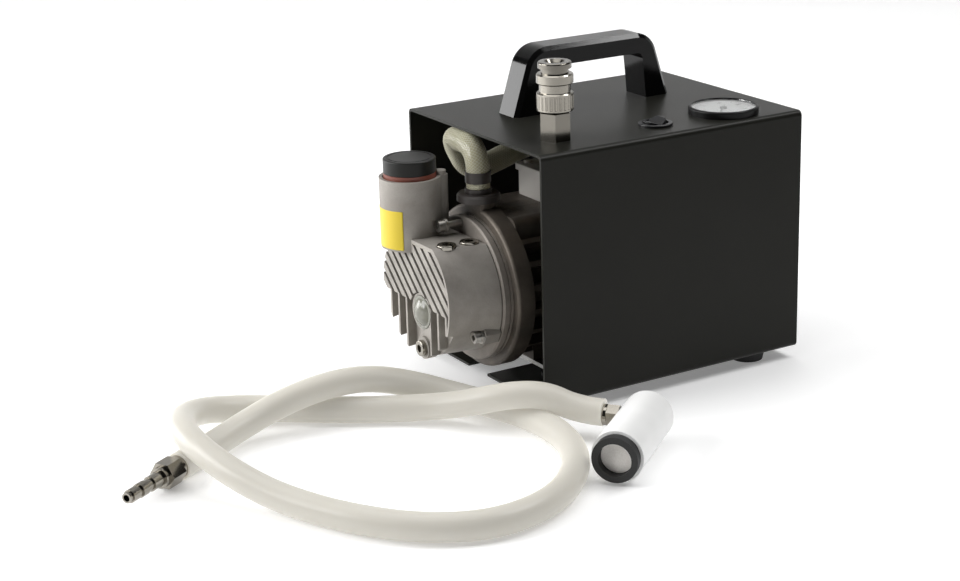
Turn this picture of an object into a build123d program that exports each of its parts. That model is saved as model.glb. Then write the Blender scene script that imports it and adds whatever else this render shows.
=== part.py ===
"""Portable oil-lubricated vacuum pump in a folded sheet case, with its suction hose set.

Millimetres.  +X runs along the case from the open pump end to the motor end, +Y is the back,
+Z is up.  The origin is on the floor, midway along the pump and under the middle of the case.
"""
import os
from math import cos, radians, sin, tan

from build123d import *

# ---------------------------------------------------------------- driving dimensions
# Case: a folded sheet wrap, open at both ends, standing on four rubber feet.
case_length = 229.0
case_width = 187.0
case_height = 185.0
sheet = 2.0
case_bend = 4.0
bottom_flange = 80.0
foot_height = 9.0
foot_diameter = 28.0
foot_inset = 31.0
fit = 0.3                      # clearance between parts of different bodies
screw_radius = 2.5
screw_head_radius = 4.5
screw_head_height = 2.8
hole_clearance = 0.25

# Pump end: how far the filter tower reaches out of the case, and the shaft axis.
pump_reach = 62.0
axis_y = -6.0
axis_rise = 70.0               # shaft axis above the underside of the case

# Oil tank casting with its ribbed end face.
tank_radius = 52.0
tank_end_radius = 49.0         # the same outline at the ribbed end
tank_end_shift = 6.0           # and how far it lies further back
tank_low_radius = 46.0
tank_length = 31.5
tank_wall = 4.5
tank_flat = 41.0               # flat top above the shaft axis
tank_step = 20.0               # step in the side, below the shaft axis
rib_depth = 6.5
rib_wall = 2.0                 # side wall that closes the grooves at the front
rib_width = 2.4                # upright ribs
rib_slant_width = 4.9          # slanted ribs, measured square to their slant
rib_pitch = 11.6
rib_lean = 47.0                # slant of the upper ribs from vertical
rib_knee = 6.0                 # where the slanted ribs turn upright, below the axis
sight_radius = 12.5
sight_drop = 12.0
drain_drop = 38.0
drain_offset = -3.5
plug_radius = 7.0
plug_pitch = 17.8

# Exhaust filter tower on the tank.
tower_radius = 22.8
tower_bore = 20.2
tower_height = 52.0
tower_drop = 10.0              # how far the tower reaches below the flat top
tower_side = 29.5              # tower axis behind the shaft axis
cap_radius = 19.4
cap_height = 10.5

# Pump stage.
flange_radius = 54.0
flange_thickness = 8.0
gasket = 0.8
cylinder_radius = 30.0
cylinder_length = 22.0
bore_radius = 23.0
rotor_radius = 20.0
vane_count = 3
vane_thickness = 3.0
vane_root = 8.3                # bottom of the vane slots, from the shaft axis
shaft_radius = 8.5
rotor_shaft_radius = 7.0
tank_bolt_circle = 49.0
tank_bolt_angles = (85.0, 208.0, 332.0)
bolt_land = 12.0
bolt_washer = 2.0

# Motor.
intake_radius = 61.0
intake_thickness = 14.0
motor_length = 150.0
shell_radius = 46.0
shell_wall = 4.0
fin_radius = 56.5
fin_count = 20
fin_width = 4.0
core_length = 70.0
air_gap = 0.5
rotor_core_radius = 28.0
bearing_radius = 20.0
bearing_width = 12.0
fan_radius = 44.0
fan_blades = 7
fan_width = 15.0
cover_wall = 1.5
cover_length = 44.0
saddle_half_width = 46.0
saddle_length = 24.0
saddle_sheet = 3.0
mount_half_pitch = 36.0
mount_radius = 9.0
mount_height = 8.0

# Terminal box.
box_length = 56.0
box_width = 58.0
box_shift = -3.0               # middle of the box in front of the shaft axis
saddle_round = 7.0
saddle_reach = 36.0            # half width of the smooth saddle under the terminal box
box_height = 19.0
box_wall = 2.5
lid_height = 5.0

# Intake port, braided hose and its fittings.
port_radius = 16.0
hose_radius = 8.5
hose_bore = 5.5
barb_radius = 5.2

# Top panel: coupler, switch, gauge and handle.
coupler_x = 36.0               # measured from the open pump end of the case
coupler_y = 37.0               # measured from the front of the case
coupler_hex = 21.0
plug_pin_radius = 5.3
plug_clearance = 0.1
socket_depth = 16.0
poppet_radius = 4.9
coupler_height = 56.0
sleeve_radius = 13.2
sleeve_travel = 3.5
tee_drop = 20.5                # hose barb of the tee below the panel
tee_pitch = 18.0               # and the thin barb below that
coupler_stem_radius = 8.0
coupler_tube_radius = 9.8
coupler_hex_height = 20.5
switch_x = 117.0
switch_y = 29.0
switch_radius = 12.6
rocker_swing = 16.0
rocker_radius = 9.2
rocker_pivot = 4.0             # pivot pin below the top of the panel
switch_body_radius = 10.4
gauge_x = 180.0
gauge_y = 31.0
gauge_radius = 26.0
gauge_can_radius = 23.6
gauge_depth = 30.0
gauge_tube_radius = 3.0
gauge_tube_bore = 2.0
handle_x = 116.0
handle_y = 120.0
handle_length = 140.0
handle_height = 50.0
handle_width = 26.0
handle_grip = 15.0
handle_foot = 22.0
handle_round = 20.0
handle_lean = 16.0             # how far each leg leans in from foot to shoulder
handle_inner_lean = 3.5

# Suction hose set lying on the floor.
free_hose_radius = 9.7
head_radius = 18.0
head_length = 80.0
head_ring_length = 7.0
head_back = (-42.0, -163.0)
head_heading = 219.3
head_side = 10.0               # side fitting, from the closed end of the head

# ---------------------------------------------------------------- derived places
case_left = (pump_reach - case_length) / 2
case_right = case_left + case_length
case_front = -case_width / 2
case_floor = foot_height
case_top = case_floor + case_height
panel_under = case_top - sheet
axis_z = case_floor + axis_rise

intake_left = case_left - 4.0
flange_left = intake_left - flange_thickness
tank_right = flange_left - gasket
tank_left = tank_right - tank_length
rib_left = tank_left - rib_depth
tank_top = axis_z + tank_flat
tower_x = case_left - pump_reach + tower_radius
duct_boss = (tank_right - 6.5, axis_y + tower_side - 9.0)
tower_y = axis_y + tower_side
tower_foot = tank_top - tower_drop
tower_rim = tower_foot + tower_height
tower_floor = tower_foot + 4.0
intake_right = intake_left + intake_thickness
motor_right = intake_right + motor_length
shell_inner = shell_radius - shell_wall
core_left = intake_right + 44.0
core_right = core_left + core_length
front_bearing_x = intake_right + 2.0
rear_bearing_x = motor_right - 8.0
port_x = intake_left + 5.0
port_top = axis_z + flange_radius + 18.0
box_left = intake_right + 40.5
box_y = axis_y + box_shift
box_base = axis_z + fin_radius - 0.5
coupler_place = (case_left + coupler_x, case_front + coupler_y)
switch_place = (case_left + switch_x, case_front + switch_y)
gauge_place = (case_left + gauge_x, case_front + gauge_y)


# ---------------------------------------------------------------- helpers
def block(x0, x1, y0, y1, z0, z1):
    """Box between two corners."""
    return Pos((x0 + x1) / 2, (y0 + y1) / 2, (z0 + z1) / 2) * Box(x1 - x0, y1 - y0, z1 - z0)


def round_x(x0, x1, radius, y=axis_y, z=axis_z):
    """Cylinder lying along X, on the shaft axis unless told otherwise."""
    return Pos((x0 + x1) / 2, y, z) * Rot(0, 90, 0) * Cylinder(radius, x1 - x0)


def round_z(z0, z1, radius, x, y):
    """Upright cylinder."""
    return Pos(x, y, (z0 + z1) / 2) * Cylinder(radius, z1 - z0)


def tube_x(x0, x1, outer, inner, y=axis_y, z=axis_z):
    """Ring or tube lying along X."""
    return round_x(x0, x1, outer, y, z) - round_x(x0 - 1, x1 + 1, inner, y, z)


def tube_z(z0, z1, outer, inner, x, y):
    """Upright ring or tube."""
    return round_z(z0, z1, outer, x, y) - round_z(z0 - 1, z1 + 1, inner, x, y)


def hex_z(z0, z1, flats, x, y, turn=0.0):
    """Upright hexagon measured across its flats."""
    corner = flats / 2 / cos(radians(30))
    return Pos(x, y, z0) * Rot(0, 0, turn) * extrude(RegularPolygon(corner, 6), z1 - z0)


def on_circle(radius, angle):
    """Y and Z of a point on a circle round the shaft axis, counted from +Y upwards."""
    return axis_y + radius * cos(radians(angle)), axis_z + radius * sin(radians(angle))


def pan_screw(x, y, z_seat, length, upwards=True):
    """Pan-head screw whose head seats at z_seat and whose shank points up or down."""
    way = 1 if upwards else -1
    head = round_z(min(z_seat, z_seat - way * screw_head_height),
                   max(z_seat, z_seat - way * screw_head_height), screw_head_radius, x, y)
    z_end = z_seat + way * length
    shank = round_z(min(z_seat, z_end), max(z_seat, z_end), screw_radius, x, y)
    z_face = z_seat - way * screw_head_height
    socket = hex_z(z_face - 1.4, z_face + 1.4, 3.0, x, y)
    return head + shank - socket


def foot_places():
    """Centres of the four rubber feet."""
    near_front = case_front + 0.7 * foot_inset
    return [(x, y)
            for x in (case_left + foot_inset, case_right - foot_inset)
            for y in (near_front, -near_front)]


def bracket_stations():
    """Where the two cradles stand along the motor."""
    return intake_right + 30.0, motor_right - 35.0


def mount_places():
    """Centres of the four rubber mounts under the motor."""
    return [(x, axis_y + side * mount_half_pitch)
            for x in bracket_stations()
            for side in (-1, 1)]


def handle_screw_places():
    """Centres of the two screws in each foot of the handle."""
    reach = (handle_length - handle_foot) / 2
    centre_x = case_left + handle_x
    centre_y = case_front + handle_y
    return [(centre_x + side * reach, centre_y + step)
            for side in (-1, 1)
            for step in (-6.0, 6.0)]


# ---------------------------------------------------------------- case
def make_case_wrap():
    outer = RectangleRounded(case_width, case_height, case_bend)
    inner = RectangleRounded(case_width - 2 * sheet, case_height - 2 * sheet, case_bend - sheet)
    section = Plane.YZ * (outer - inner)
    middle = Pos(case_left, 0, case_floor + case_height / 2)
    wrap = middle * extrude(section, case_length)
    slot = case_width / 2 - bottom_flange
    wrap -= block(case_left - 1, case_right + 1, -slot, slot, case_floor - 1,
                  case_floor + sheet + 1)
    hole = screw_radius + hole_clearance
    for x, y in foot_places() + mount_places():
        wrap -= round_z(case_floor - 1, case_floor + sheet + 1, hole, x, y)
    for x, y in handle_screw_places():
        wrap -= round_z(panel_under - 1, case_top + 1, hole, x, y)
    cutouts = ((coupler_stem_radius, coupler_place), (switch_body_radius, switch_place),
               (gauge_can_radius, gauge_place))
    for radius, (x, y) in cutouts:
        wrap -= round_z(panel_under - 1, case_top + 1, radius + hole_clearance, x, y)
    return wrap


def make_carry_handle():
    """Bridge handle: legs that taper upwards, rounded shoulders and softened long edges."""
    half = handle_length / 2
    shoulder = half - handle_lean
    outline = Polyline((-half, 0), (-shoulder, handle_height), (shoulder, handle_height), (half, 0),
                       close=True)
    body = make_face(outline)
    body = fillet(body.vertices().sort_by(Axis.Y)[-2:], handle_round)
    under = handle_height - handle_grip
    gap_low = half - handle_foot
    gap_high = gap_low - handle_inner_lean
    gap = make_face(Polyline((-gap_low, -1), (-gap_high, under), (gap_high, under), (gap_low, -1),
                             close=True))
    gap = fillet(gap.vertices().sort_by(Axis.Y)[-2:], 5.0)
    place = Pos(case_left + handle_x, case_front + handle_y + handle_width / 2, case_top)
    solid = place * extrude(Plane.XZ * (body - gap), handle_width)
    outer_edges = [edge for edge in solid.edges()
                   if edge.bounding_box().size.Y < 0.01
                   and edge.bounding_box().min.Z > case_top + 0.5
                   and edge.center().Z > case_top + under + 2]
    solid = chamfer(outer_edges, 3.0)
    for x, y in handle_screw_places():
        solid -= round_z(case_top - 1, case_top + 11.0, screw_radius + hole_clearance, x, y)
    return solid


def make_rubber_feet():
    feet = []
    for x, y in foot_places():
        taper = Cone(foot_diameter / 2, foot_diameter / 2 - 2, case_floor)
        foot = Pos(x, y, case_floor / 2) * Rot(180, 0, 0) * taper
        foot -= round_z(-1, 4.5, screw_head_radius + 1.5, x, y)
        foot -= round_z(0, case_floor + 1, screw_radius + hole_clearance, x, y)
        feet.append(foot)
    return feet


def make_case_screws():
    feet = [pan_screw(x, y, 4.5, 10.0) for x, y in foot_places()]
    handle = [pan_screw(x, y, panel_under, 12.0) for x, y in handle_screw_places()]
    return feet + handle


# ---------------------------------------------------------------- motor mounts
def make_mount_brackets():
    """Two folded cradles between the rubber mounts and the pads cast on the motor."""
    base = case_floor + sheet + mount_height
    brackets = []
    for x in bracket_stations():
        plate = block(x - saddle_length / 2, x + saddle_length / 2, axis_y - saddle_half_width,
                      axis_y + saddle_half_width, base, base + saddle_sheet)
        for side in (-1, 1):
            edge = axis_y + side * saddle_half_width
            inner = edge - side * saddle_sheet
            lip = block(x - saddle_length / 2, x + saddle_length / 2, min(edge, inner),
                        max(edge, inner), base, base + 9.0)
            plate += lip
            plate -= round_z(base - 1, base + saddle_sheet + 1, screw_radius + hole_clearance,
                             x, axis_y + side * mount_half_pitch)
        brackets.append(plate)
    return brackets


def make_rubber_mounts():
    low = case_floor + sheet
    mounts = []
    for x, y in mount_places():
        mount = tube_z(low, low + mount_height, mount_radius, screw_radius + hole_clearance, x, y)
        mount -= tube_z(low + 2.5, low + mount_height - 2.5, mount_radius + 1, mount_radius - 1.5, x, y)
        mounts.append(mount)
    return mounts


def make_mount_bolts():
    """Bolts from under the case, each with its nut on the bracket."""
    top = case_floor + sheet + mount_height + saddle_sheet
    bolts = []
    for x, y in mount_places():
        bolt = pan_screw(x, y, case_floor, top - case_floor + 5.5)
        bolts.append(bolt + hex_z(top, top + 4.0, 8.0, x, y))
    return bolts


# ---------------------------------------------------------------- oil tank
def tank_outline(upper, lower, flat):
    """End view of the tank: round shoulders under a flat top, stepping in towards the sump."""
    high = Circle(upper) & (Pos(0, (flat - tank_step) / 2) * Rectangle(4 * upper, flat + tank_step))
    low = Circle(lower) & (Pos(0, -tank_step - upper) * Rectangle(4 * upper, 2 * upper))
    return high + low


def tank_block(x0, x1, upper, lower, flat):
    """Solid with the tank's end view between two stations along X."""
    face = Plane.YZ * tank_outline(upper, lower, flat)
    return Pos(x0, axis_y, axis_z) * extrude(face, x1 - x0)


def tank_taper(x0, inset):
    """Tank outline, drawn in and shifted back towards the ribbed end, from x0 to the joint."""
    share = (tank_right - x0) / (tank_right - rib_left)
    end_radius = tank_radius + (tank_end_radius - tank_radius) * share - inset
    low_radius = tank_low_radius - inset
    flat = tank_flat - inset
    near = tank_outline(tank_radius - inset, low_radius, flat)
    far = tank_outline(end_radius, low_radius, flat)
    near_place = Pos(tank_right, axis_y, axis_z)
    far_place = Pos(x0, axis_y + tank_end_shift * share, axis_z)
    return loft([near_place * (Plane.YZ * near), far_place * (Plane.YZ * far)], ruled=True)


def rib_offsets():
    """Distances of the ribs from the middle of the end face."""
    count = int((tank_radius + tank_flat) / rib_pitch) + 1
    return [rib_pitch * step for step in range(-count, count)]


def ribs():
    """Slanted ribs above the knee, each running on as an upright rib below it."""
    depth = rib_depth + 1.0
    slope = tan(radians(rib_lean))
    rise = tank_flat + rib_knee
    shift = rise * slope
    slant_half = rib_slant_width / 2 / cos(radians(rib_lean))
    total = None
    for offset in rib_offsets():
        slanted = make_face(Polyline((offset - slant_half, -rib_knee), (offset + slant_half, -rib_knee),
                                     (offset + slant_half + shift, tank_flat),
                                     (offset - slant_half + shift, tank_flat), close=True))
        piece = extrude(Plane.YZ * slanted, depth)
        upright = offset - slant_half + rib_width / 2
        if abs(upright) > sight_radius:
            middle = -rib_knee - tank_radius / 2
            piece += Pos(depth / 2, upright, middle) * Box(depth, rib_width, tank_radius + 1)
        total = piece if total is None else total + piece
    return Pos(rib_left, axis_y, axis_z) * total


def make_oil_tank():
    """One casting: tank, ribbed end, sight-glass and drain bosses, filler bosses, filter tower."""
    envelope = tank_taper(rib_left, 0.0)
    behind_ribs = block(tank_left, tank_right, -99, 99, 0, 999)
    body = envelope & behind_ribs
    body += ribs() & envelope
    top_bar = block(rib_left, tank_left + 4, axis_y - 60, axis_y + 60, tank_top - 3.0, tank_top)
    body += top_bar & envelope
    side_wall = envelope - tank_taper(rib_left - 1.0, rib_wall)
    body += side_wall & block(rib_left, tank_left + 1, -99, axis_y, axis_z - rib_knee - 14, 999)
    sight_z = axis_z - sight_drop
    body -= round_x(rib_left - 1, tank_left, sight_radius + 2.5, axis_y, sight_z)
    body += round_x(rib_left + 1.5, tank_left + 1, sight_radius + 1.8, axis_y, sight_z)
    drain_y = axis_y + drain_offset
    drain_z = axis_z - drain_drop
    body += round_x(rib_left - 0.5, tank_left + 1, plug_radius + 1.5, drain_y, drain_z)
    body += block(rib_left + 1.5, tank_left + 1, drain_y - plug_radius, drain_y + plug_radius,
                  drain_z, sight_z)

    tower = round_z(tower_foot, tower_rim, tower_radius, tower_x, tower_y)
    wall_x = tank_right - 1.0
    duct = block(tower_x, wall_x, tower_y - 14, tower_y + 8, tower_foot, tower_rim)
    duct = fillet(duct.edges().filter_by(Axis.Z), 4.0)
    body += tower + duct
    body += round_z(tower_rim - 1, tower_rim + 3.0, 4.5, *duct_boss)

    cavity = tank_taper(rib_left, tank_wall)
    body -= cavity & block(tank_left + tank_wall, tank_right + 1, -99, 99, 0, 999)
    body -= round_z(tower_floor, tower_rim + 5, tower_bore, tower_x, tower_y)
    body -= round_z(tank_top - 8, tower_floor + 1, 5.0, tower_x + 12, tower_y - 6)
    body += rim_lugs(tank_left + tank_wall, tank_right)
    for x, y in filler_places():
        body -= round_z(tank_top - 9, tank_top + 1, plug_radius - 2.2, x, y)
        body -= round_z(tank_top - 1.2, tank_top + 1, plug_radius + 0.4, x, y)
    body -= round_x(rib_left - 1, tank_left + tank_wall + 1, sight_radius - 2.5, axis_y, sight_z)
    body -= round_x(rib_left - 1, rib_left + 4.5, sight_radius + 0.2, axis_y, sight_z)
    body -= round_x(rib_left - 1, tank_left + tank_wall + 1, plug_radius - 2.2, drain_y, drain_z)
    for angle in tank_bolt_angles:
        y, z = on_circle(tank_bolt_circle, angle)
        seat = tank_right - bolt_land
        body -= round_x(seat - 1, tank_right + 1, screw_radius + hole_clearance, y, z)
        body -= round_x(seat - bolt_washer - 8.0, seat, screw_head_radius + 1.0, y, z)
    return largest(body)


def rim_lugs(x0, x1):
    """Screw lugs round the joint face of the tank."""
    lugs = None
    for angle in tank_bolt_angles:
        y, z = on_circle(tank_bolt_circle, angle)
        lug = round_x(x1 - bolt_land, x1, screw_head_radius + 2.0, y, z)
        lugs = lug if lugs is None else lugs + lug
    keep = round_x(x0, x1, flange_radius)
    return lugs & keep


def filler_places():
    """Centres of the two plugs on the flat top."""
    first_x = tank_left + 6.0
    y = axis_y - 20.0
    return [(first_x, y), (first_x + plug_pitch, y - 1.5)]


def largest(shape):
    """The biggest solid of a shape that should be one piece."""
    return max(shape.solids(), key=lambda solid: solid.volume)


def make_filter_element():
    """Exhaust filter cartridge standing in the tower."""
    low = tower_floor
    high = tower_rim - 8.0
    return tube_z(low, high, tower_bore - 1.5, 9.0, tower_x, tower_y)


def make_filter_ring():
    """Sealing ring of the cartridge, seen between the tower rim and the cap."""
    return tube_z(tower_rim - 8.0, tower_rim + 3.2, cap_radius, 9.0, tower_x, tower_y)


def make_filter_cap():
    low = tower_rim + 3.2 + fit
    cap = round_z(low, low + cap_height, cap_radius, tower_x, tower_y)
    cap = fillet(cap.edges().sort_by(Axis.Z)[-1], 1.2)
    cap -= tube_z(low + cap_height - 0.5, low + cap_height + 1, cap_radius - 3.0, cap_radius - 4.0,
                  tower_x, tower_y)
    stem = round_z(low - 12.0, low + 1, 8.5, tower_x, tower_y)
    return cap + stem


def make_sight_glass():
    """Domed window in a round nut."""
    z = axis_z - sight_drop
    body = round_x(rib_left + 1.0, rib_left + 4.5, sight_radius, axis_y, z)
    body += round_x(rib_left + 4.5, tank_left + tank_wall, sight_radius - 2.7, axis_y, z)
    dome_radius = sight_radius + 3.0
    dome_x = rib_left + 1.0 + dome_radius - 4.0
    dome = Pos(dome_x, axis_y, z) * Sphere(dome_radius)
    body += dome & round_x(rib_left - 4, rib_left + 2, sight_radius - 1.5, axis_y, z)
    return body


def make_drain_plug():
    y = axis_y + drain_offset
    z = axis_z - drain_drop
    head = round_x(rib_left - 4.0, rib_left - 0.5, plug_radius - 1.0, y, z)
    head = fillet(head.edges().sort_by(Axis.X)[0], 0.8)
    shank = round_x(rib_left - 0.5, tank_left + tank_wall, plug_radius - 2.4, y, z)
    socket = Pos(rib_left - 4.5, y, z) * Rot(0, 90, 0) * extrude(RegularPolygon(3.2, 6), 3.4)
    return head + shank - socket


def make_filler_plugs():
    plugs = []
    for x, y in filler_places():
        head = round_z(tank_top - 1.2, tank_top + 1.6, plug_radius, x, y)
        head = fillet(head.edges().sort_by(Axis.Z)[-1], 0.8)
        shank = round_z(tank_top - 9.0, tank_top - 1.2, plug_radius - 2.4, x, y)
        socket = hex_z(tank_top - 2.4, tank_top + 3.0, 6.0, x, y)
        plugs.append(head + shank - socket)
    return plugs


def make_tank_bolts():
    """Socket-head bolts and washers that hold tank and flange on the intake housing."""
    bolts = []
    seat = tank_right - bolt_land
    for angle in tank_bolt_angles:
        y, z = on_circle(tank_bolt_circle, angle)
        bolt = round_x(seat - bolt_washer, seat, screw_head_radius + 0.7, y, z)
        bolt += round_x(seat - bolt_washer - 5.0, seat - bolt_washer, screw_head_radius - 0.3, y, z)
        bolt += round_x(seat, intake_left + 8.0, screw_radius, y, z)
        bolt -= Pos(seat - bolt_washer - 6.0, y, z) * Rot(0, 90, 0) * extrude(RegularPolygon(2.3, 6), 4.0)
        bolts.append(bolt)
    return bolts


def bolt_holes(x0, x1):
    """Clearance holes for the tank bolts."""
    holes = None
    for angle in tank_bolt_angles:
        y, z = on_circle(tank_bolt_circle, angle)
        hole = round_x(x0, x1, screw_radius + hole_clearance, y, z)
        holes = hole if holes is None else holes + hole
    return holes


# ---------------------------------------------------------------- pump stage
def make_tank_gasket():
    ring = tank_block(tank_right, flange_left, tank_radius - 0.5, tank_low_radius - 0.5, tank_flat - 0.5)
    ring -= tank_block(tank_right - 1, flange_left + 1, tank_radius - tank_wall,
                       tank_low_radius - tank_wall, tank_flat - tank_wall)
    lugs = None
    for angle in tank_bolt_angles:
        y, z = on_circle(tank_bolt_circle, angle)
        lug = round_x(tank_right, flange_left, screw_head_radius + 2.0, y, z)
        lugs = lug if lugs is None else lugs + lug
    ring += lugs & round_x(tank_right, flange_left, flange_radius)
    return largest(ring - bolt_holes(tank_right - 1, flange_left + 1))


def make_pump_flange():
    """End plate that carries the vane cylinder, with a raised lip round its edge."""
    plate = round_x(flange_left, intake_left, flange_radius)
    plate = chamfer(plate.edges().sort_by(Axis.X)[0], 1.2)
    groove = tube_x(intake_left - 3.0, intake_left - 1.8, flange_radius + 1, flange_radius - 1.2)
    plate -= groove
    plate -= round_x(flange_left - 1, intake_left + 1, rotor_shaft_radius + 0.05)
    plate -= round_x(flange_left - 1, intake_left + 1, 4.0, axis_y, axis_z + bore_radius - 1)
    return plate - bolt_holes(flange_left - 1, intake_left + 1)


def make_pump_cylinder():
    """Vane cylinder with its bore set above the shaft axis."""
    x0 = flange_left - cylinder_length
    body = round_x(x0, flange_left, cylinder_radius)
    rise = bore_radius - rotor_radius - 0.2
    return body - round_x(x0 - 1, flange_left + 1, bore_radius, axis_y, axis_z + rise)


def make_end_plate():
    x1 = flange_left - cylinder_length
    plate = round_x(x1 - 4.0, x1, cylinder_radius)
    for angle in range(45, 360, 90):
        y, z = on_circle(cylinder_radius - 3.0, angle)
        plate += round_x(x1 - 5.6, x1 - 4.0, 2.2, y, z)
    return plate


def make_pump_rotor():
    x1 = flange_left - 0.1
    x0 = flange_left - cylinder_length + 0.1
    rotor = round_x(x0, x1, rotor_radius)
    for step in range(vane_count):
        slot = Box(cylinder_length + 2, vane_thickness + 0.1, rotor_radius)
        rotor -= vane_place(step) * (Pos(0, 0, vane_root + rotor_radius / 2) * slot)
    return rotor - round_x(x0 - 1, x1 + 1, rotor_shaft_radius)


def vane_place(step):
    """Where a vane slot starts: turned round the shaft axis."""
    x = flange_left - cylinder_length / 2
    return Pos(x, axis_y, axis_z) * Rot(360.0 / vane_count * step, 0, 0)


def make_vanes():
    """Carbon vanes, drawn back into their slots."""
    height = rotor_radius - vane_root - 0.3
    return [vane_place(step) * (Pos(0, 0, vane_root + 0.15 + height / 2)
                                * Box(cylinder_length - 0.4, vane_thickness, height))
            for step in range(vane_count)]


def make_shaft_seal():
    return tube_x(intake_left + 2.0, intake_left + 9.0, 16.0, shaft_radius + 0.05)


def make_intake_housing():
    """Dark casting between pump and motor: intake port on top, seal and bearing inside."""
    body = round_x(intake_left, intake_right, intake_radius)
    body = fillet(body.edges().sort_by(Axis.X)[0], 2.5)
    body += round_x(intake_right - 1, front_bearing_x + bearing_width, bearing_radius + 5.0)
    boss = round_z(axis_z + 30, port_top - 7.0, 12.0, port_x, axis_y)
    body += boss & block(intake_left, intake_right, -99, 99, 0, 999)
    body -= round_x(front_bearing_x, front_bearing_x + bearing_width + 1, bearing_radius)
    body -= round_x(intake_left - 1, front_bearing_x + 1, shaft_radius + 1.0)
    body -= round_x(intake_left + 2.0, intake_left + 9.0, 16.0)
    body -= round_x(intake_left - 1, intake_left + 2.1, 16.0)
    body -= round_z(axis_z + 35, port_top, 4.5, port_x, axis_y)
    return body - bolt_holes(intake_left - 1, intake_left + 8.2)


# ---------------------------------------------------------------- motor
def make_motor_housing():
    """Extruded shell with lengthwise fins, a pad for the terminal box and two foot pads."""
    collar = 10.0
    shell = round_x(intake_right, motor_right, shell_radius)
    shell += round_x(motor_right - collar, motor_right, fin_radius - 1.3)
    fin_end = motor_right - collar
    for step in range(fin_count):
        fin = Pos(0, 0, (fin_radius + shell_inner + 1) / 2) * Box(fin_end - intake_right, fin_width,
                                                                 fin_radius - shell_inner - 1)
        turn = 360.0 / fin_count * (step + 0.5)
        shell += Pos((intake_right + fin_end) / 2, axis_y, axis_z) * Rot(turn, 0, 0) * fin
    saddle = block(intake_right, box_left + box_length + 4, axis_y - saddle_reach, axis_y + saddle_reach,
                   axis_z + shell_radius - 20.0, box_base)
    shell += fillet(saddle.edges().filter_by(Axis.X).group_by(Axis.Z)[-1], saddle_round)
    pad_low = case_floor + sheet + mount_height + saddle_sheet
    for x in bracket_stations():
        shell += block(x - saddle_length / 2, x + saddle_length / 2, axis_y - 28, axis_y + 28,
                       pad_low, axis_z - shell_radius + 10.0)
    return shell - round_x(intake_right - 1, motor_right + 1, shell_inner)


def make_stator_core():
    return tube_x(core_left, core_right, shell_inner, rotor_core_radius + air_gap)


def make_windings():
    ends = [(core_left - 14.0, core_left), (core_right, core_right + 14.0)]
    return [tube_x(x0, x1, shell_inner - 3.0, rotor_core_radius + 2.5) for x0, x1 in ends]


def make_rotor_core():
    return tube_x(core_left, core_right, rotor_core_radius, shaft_radius)


def make_motor_shaft():
    fan_end = motor_right + 22.0
    shaft = round_x(intake_left, fan_end, shaft_radius)
    return shaft + round_x(flange_left - cylinder_length + 0.1, intake_left, rotor_shaft_radius)


def make_bearings():
    return [tube_x(x, x + bearing_width, bearing_radius, shaft_radius + 0.02)
            for x in (front_bearing_x, rear_bearing_x)]


def make_rear_shield():
    plate = round_x(motor_right, motor_right + 5.0, fin_radius - 1.3)
    plate += round_x(rear_bearing_x, motor_right + 5.0, bearing_radius + 5.0)
    plate -= round_x(rear_bearing_x - 1, rear_bearing_x + bearing_width, bearing_radius)
    return plate - round_x(motor_right, motor_right + 6.0, shaft_radius + 1.0)


def make_cooling_fan():
    x0 = motor_right + 8.0
    fan = round_x(x0, x0 + fan_width - 2, 13.0)
    fan += round_x(x0, x0 + 2.0, fan_radius - 6)
    for step in range(fan_blades):
        blade = Pos(fan_width / 2, 0, (fan_radius + 11) / 2) * Box(fan_width, 2.0, fan_radius - 11)
        fan += Pos(x0, axis_y, axis_z) * Rot(360.0 / fan_blades * step, 0, 0) * blade
    return fan - round_x(x0 - 1, x0 + fan_width + 1, shaft_radius)


def make_fan_cover():
    """Pressed cap over the fan, slotted in its end, seated on the rear collar of the motor."""
    x0 = motor_right - 10.0
    x1 = x0 + cover_length
    outer = fin_radius - 1.3 + cover_wall
    cover = round_x(x0, x1, outer)
    cover = fillet(cover.edges().sort_by(Axis.X)[-1], 5.0)
    cover -= round_x(x0 - 1, x1 - cover_wall, outer - cover_wall)
    for step in range(12):
        slot = Pos(0, 0, 29.0) * Box(10, 5.0, 28.0)
        cover -= Pos(x1, axis_y, axis_z) * Rot(30.0 * step, 0, 0) * slot
    return cover


# ---------------------------------------------------------------- terminal box
def make_terminal_box():
    y0 = box_y - box_width / 2
    y1 = box_y + box_width / 2
    body = block(box_left, box_left + box_length, y0, y1, box_base, box_base + box_height)
    body = fillet(body.edges().filter_by(Axis.Z), 3.0)
    body -= block(box_left + box_wall, box_left + box_length - box_wall, y0 + box_wall, y1 - box_wall,
                  box_base + box_wall, box_base + box_height + 1)
    for x, y in lid_screw_places():
        post = block(x - 4.0, x + 4.0, y - 4.0, y + 4.0, box_base + 1, box_base + box_height)
        body += post
        body -= round_z(box_base + 8, box_base + box_height + 1, 1.8, x, y)
    gland_z = box_base + box_height / 2
    return body - round_x(box_left + box_length - 5, box_left + box_length + 1, 6.2, box_y, gland_z)


def lid_screw_places():
    reach_x = box_length / 2 - 6.0
    reach_y = box_width / 2 - 6.0
    return [(box_left + box_length / 2 + side * reach_x, box_y + way * reach_y)
            for side in (-1, 1)
            for way in (-1, 1)]


def make_terminal_lid():
    low = box_base + box_height
    lid = block(box_left - 1.8, box_left + box_length + 1.8, box_y - box_width / 2 - 1.8,
                box_y + box_width / 2 + 1.8, low, low + lid_height)
    lid = fillet(lid.edges().filter_by(Axis.Z), 3.5)
    lid = fillet(lid.edges().sort_by(Axis.Z)[-8:], 1.0)
    for x, y in lid_screw_places():
        lid -= round_z(low - 1, low + lid_height + 1, 1.8, x, y)
    return lid


def make_lid_screws():
    top = box_base + box_height + lid_height
    return [round_z(top - lid_height - 10, top, 1.6, x, y) + round_z(top, top + 2.0, 3.2, x, y)
            for x, y in lid_screw_places()]


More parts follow.
